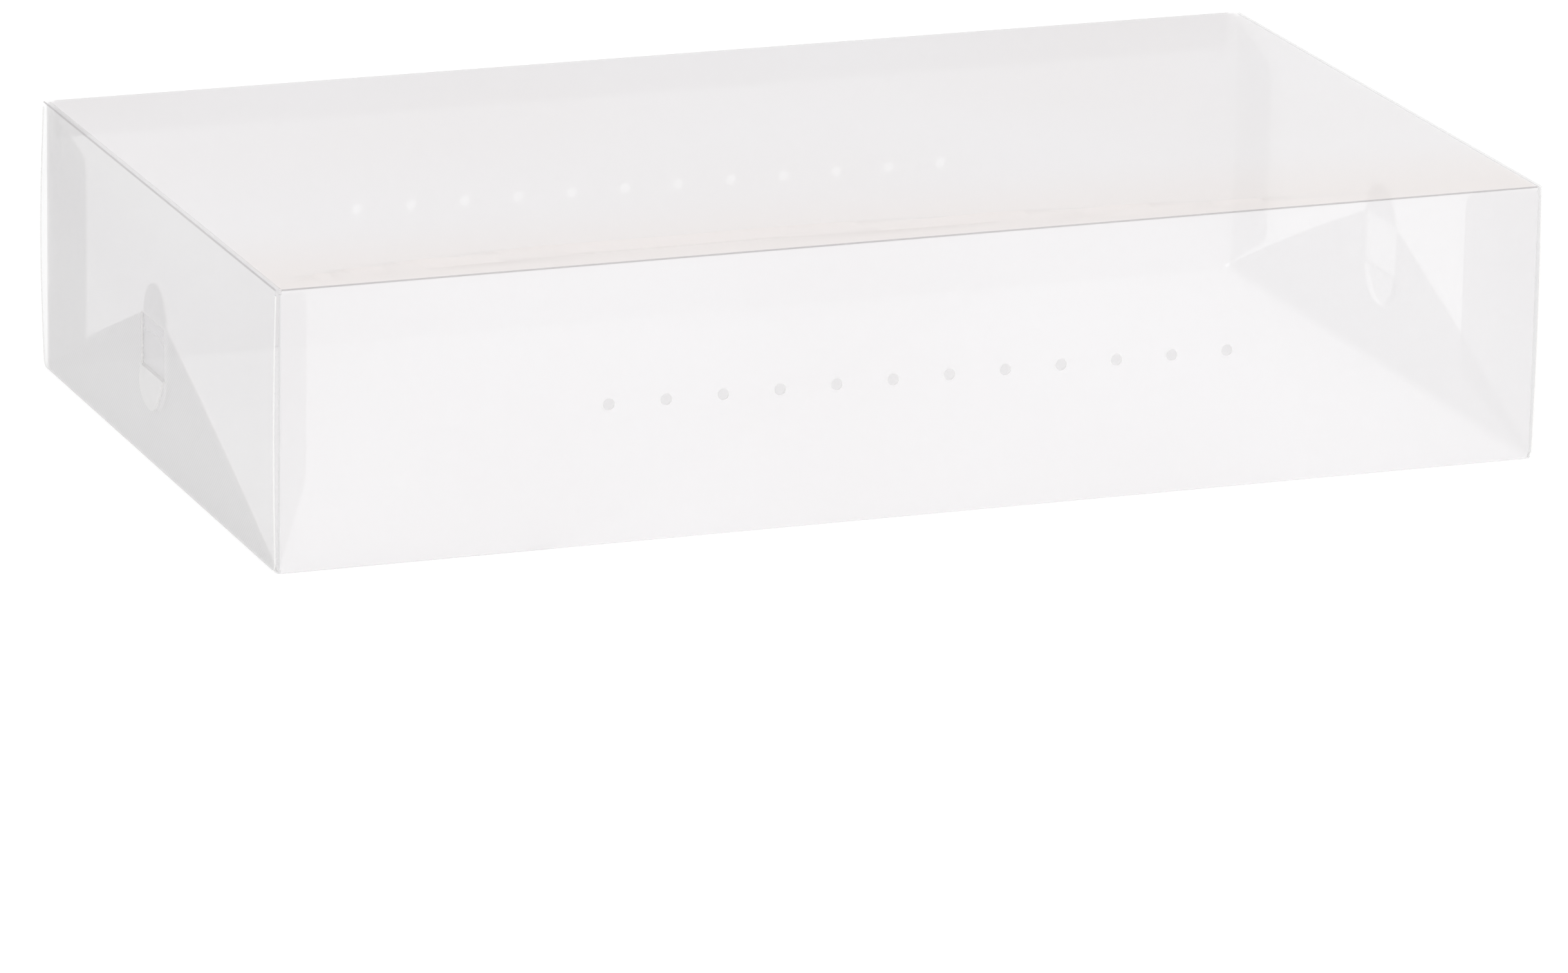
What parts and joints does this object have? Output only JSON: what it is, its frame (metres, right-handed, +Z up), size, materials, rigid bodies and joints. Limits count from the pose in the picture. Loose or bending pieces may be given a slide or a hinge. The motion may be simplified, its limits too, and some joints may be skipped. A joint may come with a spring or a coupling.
{
  "type": "shoe box",
  "caption": "Fold-flat translucent plastic shoe or boot box with vented sides and tab-locked end flaps.",
  "frame": {"origin": "middle of the base, on the surface the box stands on", "axes": "X along the length, Y from the front side to the back side, Z up"},
  "size_m": [0.5216, 0.302, 0.111],
  "materials": {
    "panel_sheet": "smooth translucent polypropylene sheet, slightly frosted",
    "flap_sheet": "translucent polypropylene sheet with a fine diagonal line emboss",
    "crease_sheet": "pressed living hinge, whitened by the crease"
  },
  "bodies": {
    "base": {"bottom_panel": "panel_sheet", "crease_bottom_front": "crease_sheet", "crease_bottom_back": "crease_sheet", "crease_lock_left": "crease_sheet", "crease_lock_right": "crease_sheet"},
    "front": {"front_panel": "panel_sheet", "crease_dust_front_left": "crease_sheet", "crease_dust_front_right": "crease_sheet"},
    "back": {"back_panel": "panel_sheet", "glue_flap": "flap_sheet", "crease_dust_back_left": "crease_sheet", "crease_dust_back_right": "crease_sheet"},
    "top": {"top_panel": "panel_sheet", "crease_top_front": "crease_sheet", "crease_top_back": "crease_sheet", "crease_cover_left": "crease_sheet", "crease_cover_right": "crease_sheet"},
    "cover_left": {"cover_flap_left": "flap_sheet"},
    "lock_left": {"lock_flap_left": "flap_sheet"},
    "tab_left": {"lock_tab_left": "flap_sheet"},
    "dust_front_left": {"dust_flap_front_left": "flap_sheet"},
    "dust_back_left": {"dust_flap_back_left": "flap_sheet"},
    "cover_right": {"cover_flap_right": "flap_sheet"},
    "lock_right": {"lock_flap_right": "flap_sheet"},
    "tab_right": {"lock_tab_right": "flap_sheet"},
    "dust_front_right": {"dust_flap_front_right": "flap_sheet"},
    "dust_back_right": {"dust_flap_back_right": "flap_sheet"}
  },
  "joints": [
    {"name": "tube_fold", "type": "hinge", "parent": "base", "child": "front", "pos_m": [0, -0.1501, 0.0009], "axis": [1, 0, 0], "range_deg": [0, 89], "deforming": ["crease_bottom_front"]},
    {"name": "back_follow", "type": "hinge", "parent": "base", "child": "back", "pos_m": [0, 0.1501, 0.0009], "axis": [1, 0, 0], "range_deg": [0, 89], "deforming": ["crease_bottom_back"]},
    {"name": "top_follow", "type": "hinge", "parent": "front", "child": "top", "pos_m": [0, -0.1501, 0.1101], "axis": [1, 0, 0], "range_deg": [-89, 0], "deforming": ["crease_top_front", "crease_top_back"]},
    {"name": "cover_open_left", "type": "hinge", "parent": "top", "child": "cover_left", "pos_m": [-0.26, 0, 0.1111], "axis": [0, 1, 0], "range_deg": [0, 270], "deforming": ["crease_cover_left"]},
    {"name": "lock_open_left", "type": "hinge", "parent": "base", "child": "lock_left", "pos_m": [-0.2575, 0, 0.0017], "axis": [0, -1, 0], "range_deg": [0, 90.05], "deforming": ["crease_lock_left"]},
    {"name": "tab_lift_left", "type": "hinge", "parent": "lock_left", "child": "tab_left", "pos_m": [-0.2592, 0, 0.0384], "axis": [0, 1, 0], "range_deg": [0, 90], "stiffness_Nm_per_rad": 0.002, "deforming": ["lock_tab_left"]},
    {"name": "dust_open_front_left", "type": "hinge", "parent": "front", "child": "dust_front_left", "pos_m": [-0.2575, -0.1501, 0.0555], "axis": [0, 0, 1], "range_deg": [0, 90.05], "deforming": ["crease_dust_front_left"]},
    {"name": "dust_open_back_left", "type": "hinge", "parent": "back", "child": "dust_back_left", "pos_m": [-0.2575, 0.1501, 0.0555], "axis": [0, 0, -1], "range_deg": [0, 90.05], "deforming": ["crease_dust_back_left"]},
    {"name": "cover_open_right", "type": "hinge", "parent": "top", "child": "cover_right", "pos_m": [0.26, 0, 0.1111], "axis": [0, -1, 0], "range_deg": [0, 270], "deforming": ["crease_cover_right"]},
    {"name": "lock_open_right", "type": "hinge", "parent": "base", "child": "lock_right", "pos_m": [0.2575, 0, 0.0017], "axis": [0, 1, 0], "range_deg": [0, 90.05], "deforming": ["crease_lock_right"]},
    {"name": "tab_lift_right", "type": "hinge", "parent": "lock_right", "child": "tab_right", "pos_m": [0.2592, 0, 0.0384], "axis": [0, -1, 0], "range_deg": [0, 90], "stiffness_Nm_per_rad": 0.002, "deforming": ["lock_tab_right"]},
    {"name": "dust_open_front_right", "type": "hinge", "parent": "front", "child": "dust_front_right", "pos_m": [0.2575, -0.1501, 0.0555], "axis": [0, 0, -1], "range_deg": [0, 90.05], "deforming": ["crease_dust_front_right"]},
    {"name": "dust_open_back_right", "type": "hinge", "parent": "back", "child": "dust_back_right", "pos_m": [0.2575, 0.1501, 0.0555], "axis": [0, 0, 1], "range_deg": [0, 90.05], "deforming": ["crease_dust_back_right"]}
  ],
  "couplings": [
    {"joint": "back_follow", "follows": "tube_fold", "ratio": 1},
    {"joint": "top_follow", "follows": "tube_fold", "ratio": -1},
    {"joint": "lock_open_left", "follows": "cover_open_left", "ratio": 0.33333},
    {"joint": "dust_open_front_left", "follows": "cover_open_left", "ratio": 0.33333},
    {"joint": "dust_open_back_left", "follows": "cover_open_left", "ratio": 0.33333},
    {"joint": "lock_open_right", "follows": "cover_open_right", "ratio": 0.33333},
    {"joint": "dust_open_front_right", "follows": "cover_open_right", "ratio": 0.33333},
    {"joint": "dust_open_back_right", "follows": "cover_open_right", "ratio": 0.33333}
  ]
}
